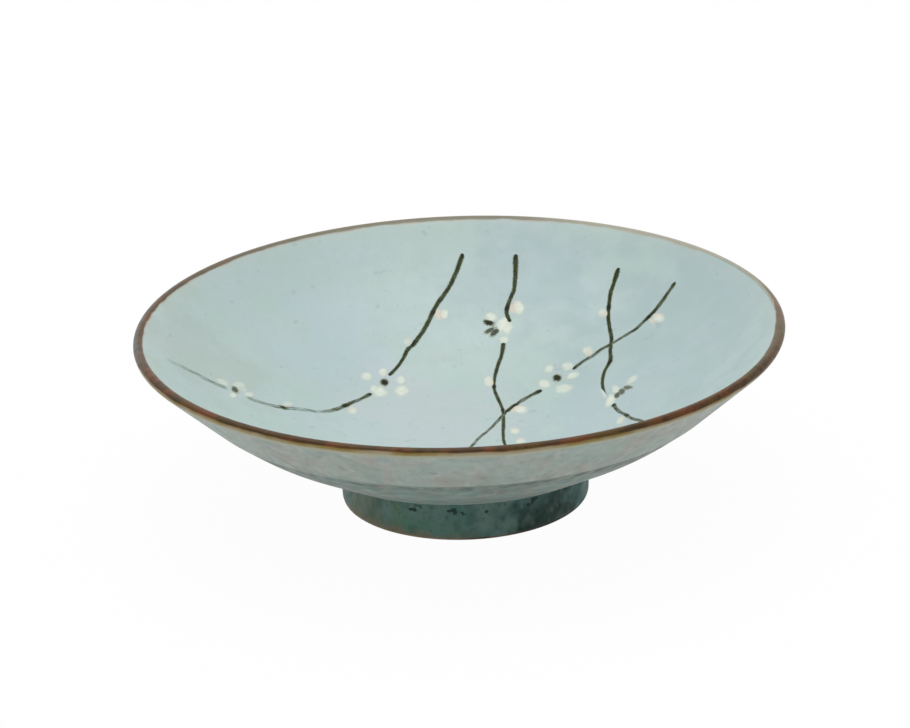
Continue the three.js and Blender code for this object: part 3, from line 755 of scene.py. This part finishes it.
brush_stroke(
    "slanting_branch_top",
    [(90.3, 37.1), (85.9, 36.9), (82.6, 36.7), (79.5, 36.7), (76.4, 37), (73.3, 37.3), (70.2, 38.5),
     (66.4, 40.2), (64.6, 41.2)],
    [1.7, 2.1, 1.85, 1.6, 1.5, 1.8], knots=(0.45,), loads=(0.75, 0.85, 0.95, 0.8, 0.72, 0.78))
brush_stroke(
    "slanting_branch_middle",
    [(66, 40.3), (62.8, 42.1), (59.7, 43.1), (56.6, 44.8), (53, 45.9)],
    [1.8, 1.8, 1.55, 1.8, 1.8], loads=(0.78, 0.72, 0.78))
brush_stroke(
    "slanting_branch_inner",
    [(42.1, 50.8), (38.9, 52.9), (35.5, 54.8), (31.1, 56), (26.3, 56.8)],
    [2.2, 2.2, 1.9, 2.3], knots=(0.05, 0.72), loads=(0.85, 0.75, 1.0))
brush_stroke(
    "slanting_branch_trunk",
    [(26.5, 56.8), (24.9, 56.3), (18.8, 53.3), (12.6, 46.7), (6.3, 28.6), (4.7, -50.8), (22, -100),
     (38, -108)],
    [1.5, 1.4, 1.4, 1.45, 1.5, 1.2], fades=(0, 16), loads=(0.75, 0.68, 0.7))
brush_stroke(
    "right_branch_top",
    [(89.6, 52.9), (85.2, 52.1), (81.9, 51.5), (78.1, 50), (74.5, 48.2), (70.8, 45.3), (67.5, 42),
     (63.7, 39), (60.4, 35.5), (56.4, 33.4), (53, 29.5), (50.9, 24.5), (50.3, 21)],
    [2.1, 1.9, 1.6, 1.5, 1.55, 1.6, 1.6, 1.3, 0.9], knots=(0.241, 0.69), fades=(0, 4))
brush_stroke(
    "right_branch_tip",
    [(49.9, 12.6), (50.3, 5.1), (52.1, -1), (54.5, -7.7), (58, -13.7), (62, -22), (71, -30)],
    [1.45, 1.35, 1.2, 1.45, 1.3, 1.1, 0.9], knots=(0.01, 0.284), fades=(0, 14),
    loads=(0.75, 0.7, 0.85, 0.85))

# The blossoms and buds: dabs of cream slip set down with a loaded brush over the glaze. Each is a low
# oval drop with a soft edge. Buds carry a blush of iron on one side, and some have a faint wash of it.

DAB_RINGS = 12
DAB_SIDES = 40
DAB_SPREAD = 1.4
DAB_WOBBLE = 0.09
PETAL_HEIGHT = 0.2
BUD_HEIGHT = 0.24
WASH_HEIGHT = 0.08


def cream_material(name, blush):
    """Cream, thin at the edge where the glaze shows through, with a blush on the marked side."""
    material, tree, shader = new_material(name)
    place = place_of(tree)
    rim, side, thick = parts_of(tree, slip_marks(tree))
    rim = calculate(tree, "ADD", rim, waver(tree, place, 2.6, 0.09))
    uneven = spread(tree, cloud(tree, place_of(tree, shift=(5, 3, 9)), 1.8, 3), 0.32, 0.62, 0.8, 1.0)
    cover = calculate(tree, "MULTIPLY", spread(tree, rim, 0.93, 0.34), thick)
    cover = calculate(tree, "MULTIPLY", cover, uneven)
    tone = two_tones(tree, 2, paint(226, 232, 218), paint(218, 224, 209), detail=3)
    haze = calculate(tree, "MULTIPLY", spread(tree, rim, 1.0, 0.66, 0, 0.6), thick)
    ground = blend(tree, haze, inside_glaze_colour(tree), paint(200, 208, 193))
    if blush:
        warm = spread(tree, rim, 1.0, 0.6, 0, 0.6)
        warm = calculate(tree, "MULTIPLY", spread(tree, side, -0.3, 0.9), warm)
        tone = blend(tree, warm, tone, paint(226, 196, 178))
        ground = blend(tree, calculate(tree, "MULTIPLY", warm, thick), ground, paint(218, 192, 168))
    fire(tree, shader, blend(tree, cover, ground, tone), 3, 0.4, 0.5, 0.9, 0.04, shine=0.4)
    return material


def dab(node, place, long, wide, turn, height, material, thick, blush_angle=0.0):
    """An oval drop. At ring q from 0 to 1 and angle t the plan is the centre plus q k(t) DAB_SPREAD times
    (wide sin t, long cos t) / 2, turned clockwise from up the slope, with k a slow wobble near 1. It
    stands height (1 - q^2) off the glaze, and its visible part ends before its rim does. The last two
    rings are its back. With the angle None it is all blush."""
    centre = plan_of([place])[0]
    radius = np.linalg.norm(centre)
    up = centre / radius
    across = np.array((up[1], -up[0]))
    slope = (inside_height(radius + SLOPE_REACH) - inside_height(radius - SLOPE_REACH)) / (2 * SLOPE_REACH)
    t = np.linspace(0, 2 * math.pi, DAB_SIDES, endpoint=False)
    wobble = 1 + sum(
        chance.normal(0, DAB_WOBBLE / k) * np.sin(k * t + chance.uniform(0, 6.28)) for k in (2, 3, 4))
    q = np.concatenate([np.linspace(0, 1, DAB_RINGS), [0.7, 0]])[:, None]
    swing = math.radians(turn)
    x = q * wobble * wide * DAB_SPREAD / 2 * np.sin(t)
    y = q * wobble * long * DAB_SPREAD / 2 * np.cos(t)
    right, upward = x * math.cos(swing) + y * math.sin(swing), y * math.cos(swing) - x * math.sin(swing)
    plan = centre + right[..., None] * across + (upward / math.hypot(1, slope))[..., None] * up
    lift = height * (1 - q**2) - SUNK_EDGE
    lift[DAB_RINGS:] = -SUNK_BACK
    rows = on_glaze(plan, lift + 0 * t)
    if blush_angle is None:
        side = np.ones_like(right)
    else:
        pull = math.radians(blush_angle)
        reach = np.maximum(np.hypot(right, upward), 1e-6)
        side = q * (right * math.sin(pull) + upward * math.cos(pull)) / reach
    marks = np.stack(np.broadcast_arrays(q, side, np.array(thick)), axis=-1)
    return add_painted(node, rows, marks, material)


def join_dabs(parts):
    """Makes one piece of the dabs that were set down together."""
    if len(parts) > 1:
        with bpy.context.temp_override(object=parts[0], active_object=parts[0], selected_objects=parts,
                                       selected_editable_objects=parts):
            bpy.ops.object.join()


def nearest_nodes(places, nodes):
    """Gives each place the free node whose middle lies nearest to it in plan, in order."""
    boxes = {n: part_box(n) for n in nodes}
    middles = {n: np.array((lowest + highest)[:2]) / 2 / MM for n, (lowest, highest) in boxes.items()}
    chosen = []
    for spot in plan_of(places):
        chosen.append(min(middles, key=lambda n: np.linalg.norm(middles[n] - spot)))
        del middles[chosen[-1]]
    return chosen


petal_slip = cream_material("cream_petal_slip", False)

# Each petal is one touch or two: its place as plan_of reads it, its length and width in mm, its turn in
# degrees and how thick it lies.
PETALS = {
    "back_blossom": [
        [((41.3, 117.8), 6.2, 5.0, 35, 0.9)], [((50.8, 119.8), 4.4, 3.2, 37, 0.8)],
        [((46.2, 114.8), 4.6, 3.5, 32, 0.75)], [((50.9, 127.0), 4.6, 4.0, 62, 0.8)],
        [((43.3, 127.3), 6.0, 5.2, 46, 0.9), ((45.3, 128.6), 4.2, 3.0, 39, 0.8)]],
    "left_blossom": [
        [((75.9, 175.7), 5.3, 4.2, -31, 0.5)], [((71.4, 172.4), 7.0, 3.8, -82, 0.5)],
        [((69.8, 173.6), 4.0, 3.0, -70, 0.3)], [((67.9, 174.8), 5.2, 2.7, -63, 0.6)],
        [((72.2, 180.3), 5.4, 2.5, -71, 0.8)]],
    "middle_side_blossom": [
        [((68.3, 80.7), 4.8, 3.8, -39, 0.85)],
        [((65.6, 77.1), 6.5, 4.4, -6, 0.95), ((64.5, 75.4), 6.1, 3.7, -10, 0.95)],
        [((59.9, 75.6), 3.8, 3.1, -77, 0.85)]],
    "right_blossom": [
        [((45.1, 41.8), 6.6, 5.2, 63, 0.7)], [((44.6, 52.1), 5.4, 4.0, -61, 0.85)],
        [((51.1, 55.0), 4.6, 3.4, -48, 0.65)], [((53.6, 48.8), 5.2, 3.7, -71, 0.7)],
        [((50.9, 43.6), 4.6, 3.8, 67, 0.75)]],
    "right_side_blossom": [
        [((58.8, 19.6), 5.2, 4.0, -12, 0.65)],
        [((53.5, 20.9), 5.6, 3.0, -80, 0.7), ((50.0, 22.7), 8.0, 1.3, -79, 0.45)],
        [((49.9, 15.8), 8.2, 3.9, -70, 0.9)]],
}
for blossom, petals in PETALS.items():
    nodes = sorted(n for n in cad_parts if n.startswith(blossom + "_petal"))
    for node, touches in zip(nearest_nodes([p[0][0] for p in petals], nodes), petals):
        join_dabs([
            dab(node, place, long, wide, turn, PETAL_HEIGHT, petal_slip, thick)
            for place, long, wide, turn, thick in touches])

bud_slip = cream_material("cream_bud_slip", True)

# The touches of each bud, written as for the petals, and the way its blush faces in degrees. A touch that
# is all blush has None there and lies thinner.
BUDS = [
    [((69.7, 93.8), 4.4, 3.5, 5, 0.85, -90), ((69.7, 95.3), 5.2, 3.2, 0, 0.6, None)],
    [((60.6, 106.2), 4.2, 3.2, 33, 0.45, 60)],
    [((41.0, 149.0), 5.1, 3.5, 69, 0.65, 0)],
    [((56.8, 168.1), 5.0, 2.9, -70, 0.5, -100)],
    [((72.1, 73.7), 6.6, 4.1, -23, 0.95, -80), ((71.8, 75.1), 4.8, 3.0, -20, 0.55, None)],
    [((42.3, 77.4), 6.0, 3.5, -14, 0.75, 90)],
    [((18.4, 23.2), 6.0, 3.6, -69, 0.85, -90)],
    [((18.6, -3.7), 5.2, 3.5, 81, 0.7, -90)],
    [((79.0, 34.0), 6.0, 3.8, -86, 0.85, -30), ((77.8, 34.9), 4.6, 2.8, -70, 0.55, None)],
    [((60.8, 46.2), 5.4, 3.6, -66, 0.65, 90)],
    [((29.7, 50.1), 6.2, 4.8, -70, 0.95, -90), ((28.7, 54.5), 5.0, 3.2, -60, 0.5, None)],
    [((74.8, 50.2), 4.7, 3.4, -55, 0.65, 90)],
    [((50.5, -4.4), 6.6, 3.4, 89, 0.65, 0)]]
nodes = sorted(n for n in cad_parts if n.startswith("bud_"))
for node, touches in zip(nearest_nodes([b[0][0] for b in BUDS], nodes), BUDS):
    join_dabs([
        dab(node, place, long, wide, turn, WASH_HEIGHT if blush is None else BUD_HEIGHT, bud_slip,
            thick, blush)
        for place, long, wide, turn, thick, blush in touches])

# The eyes and stamens: near black touches of iron slip, an oval in each open blossom and a short fan of
# strokes in each blossom that is seen from its side.


def dark_material():
    """Near black, with a pale halo at the edge where the slip drew iron out of the glaze."""
    material, tree, shader = new_material("black_iron_touches")
    place = place_of(tree)
    rim, _, thick = parts_of(tree, slip_marks(tree))
    rim = calculate(tree, "ADD", rim, waver(tree, place, 0.8, 0.12, 2))
    cover = calculate(tree, "MULTIPLY", spread(tree, rim, 0.92, 0.42), thick)
    tone = two_tones(tree, 1.4, paint(22, 26, 8), paint(38, 43, 18), detail=3)
    halo = spread(tree, rim, 1.0, 0.78, 0, 0.6)
    ground = blend(tree, halo, inside_glaze_colour(tree), paint(200, 206, 182))
    fire(tree, shader, blend(tree, cover, ground, tone), 3, 0.42, 0.56, 0.7, 0.04, shine=0.12)
    return material


dark_slip = dark_material()
TOUCH_HEIGHT = 0.22
EYES = {
    "back_blossom_eye": ((46.7, 122.3), 4.5, 3.5, 45, 1.0),
    "left_blossom_eye": ((72.1, 176.4), 5.6, 3.4, 85, 0.85),
    "right_blossom_eye": ((48.3, 49.0), 4.7, 3.7, -70, 1.0),
}
for node, (place, long, wide, turn, thick) in EYES.items():
    dab(node, place, long, wide, turn, TOUCH_HEIGHT, dark_slip, thick)

STAMENS = {
    "middle_side_blossom_stamens": [
        ((66.1, 81.1), 5.2, 2.7, -72, 1.0), ((63.3, 80.5), 5.0, 2.5, 47, 0.85),
        ((62.5, 79.0), 5.0, 2.8, 26, 0.9)],
    "right_side_blossom_stamens": [
        ((52.5, 16.5), 4.4, 2.6, -73, 0.85), ((54.3, 16.9), 4.6, 3.2, 87, 0.8),
        ((56.4, 17.0), 4.8, 2.8, 63, 0.75)],
}
for node, dashes in STAMENS.items():
    join_dabs([
        dab(node, place, long, wide, turn, TOUCH_HEIGHT, dark_slip, thick)
        for place, long, wide, turn, thick in dashes])

# The studio: a pale floor that meets a white surround, one broad soft lamp overhead, a weak one at the
# left and an even sky. Seen by the camera the floor and sky are white, and the floor keeps a light
# shadow. The camera has a long lens and stands where the photo's ellipses of the lip and foot put it.

FLOOR_REACH = 6.0
FLOOR_GLOW = 0.97
SKY = 0.55
AIM = Vector((0, 0, 0.04))
CAMERA_LENS = 154.6445
CAMERA_PLACE = (0, -1.4012, 0.6096)
CAMERA_TURN = (68.3277, 1.8385, -0.6555)


def seen_directly(tree):
    """1 for rays from the camera, from gloss and through glass, 0 for the light that falls on things."""
    path = tree.nodes.new("ShaderNodeLightPath")
    seen = calculate(tree, "MAXIMUM", path.outputs["Is Camera Ray"], path.outputs["Is Glossy Ray"])
    return calculate(tree, "MAXIMUM", seen, path.outputs["Is Transmission Ray"])


floor_mesh = bpy.data.meshes.new("studio_floor")
floor_corners = [(x * FLOOR_REACH, y * FLOOR_REACH, 0) for x, y in ((-1, -1), (1, -1), (1, 1), (-1, 1))]
floor_mesh.from_pydata(floor_corners, [], [(0, 1, 2, 3)])
floor = bpy.data.objects.new("studio_floor", floor_mesh)
bpy.context.scene.collection.objects.link(floor)
floor_paper, tree, shader = new_material("white_paper_floor")
shader.inputs["Base Color"].default_value = (0.9, 0.9, 0.9, 1)
shader.inputs["Roughness"].default_value = 0.9
glow = tree.nodes.new("ShaderNodeEmission")
glow.inputs["Strength"].default_value = 1.0
mix = tree.nodes.new("ShaderNodeMixShader")
tree.links.new(calculate(tree, "MULTIPLY", seen_directly(tree), FLOOR_GLOW), mix.inputs[0])
tree.links.new(shader.outputs[0], mix.inputs[1])
tree.links.new(glow.outputs[0], mix.inputs[2])
tree.links.new(mix.outputs[0], tree.nodes["Material Output"].inputs["Surface"])
floor_mesh.materials.append(floor_paper)

world = bpy.data.worlds.new("white_surround")
bpy.context.scene.world = world
world.use_nodes = True
sky = world.node_tree
strength = calculate(sky, "ADD", calculate(sky, "MULTIPLY", seen_directly(sky), 1 - SKY), SKY)
sky.links.new(strength, sky.nodes["Background"].inputs["Strength"])
sky.nodes["Background"].inputs["Color"].default_value = (1, 1, 1, 1)


def add_lamp(name, place, size, watts):
    """A square soft lamp that faces the middle of the bowl."""
    data = bpy.data.lights.new(name, "AREA")
    data.size = size
    data.energy = watts
    lamp = bpy.data.objects.new(name, data)
    bpy.context.scene.collection.objects.link(lamp)
    lamp.location = place
    lamp.rotation_euler = (AIM - Vector(place)).to_track_quat("-Z", "Y").to_euler()


add_lamp("overhead_softbox", (-0.05, 0.15, 1.7), 1.4, 16)
add_lamp("left_fill", (-1.7, -0.9, 0.45), 0.9, 1.5)

camera_data = bpy.data.cameras.new("photo_camera")
camera_data.sensor_width = 36
camera_data.sensor_fit = "HORIZONTAL"
camera_data.lens = CAMERA_LENS
camera_data.clip_end = 50
camera = bpy.data.objects.new("photo_camera", camera_data)
bpy.context.scene.collection.objects.link(camera)
camera.location = CAMERA_PLACE
camera.rotation_euler = tuple(math.radians(a) for a in CAMERA_TURN)
bpy.context.scene.camera = camera
bpy.context.scene.view_settings.view_transform = "Standard"
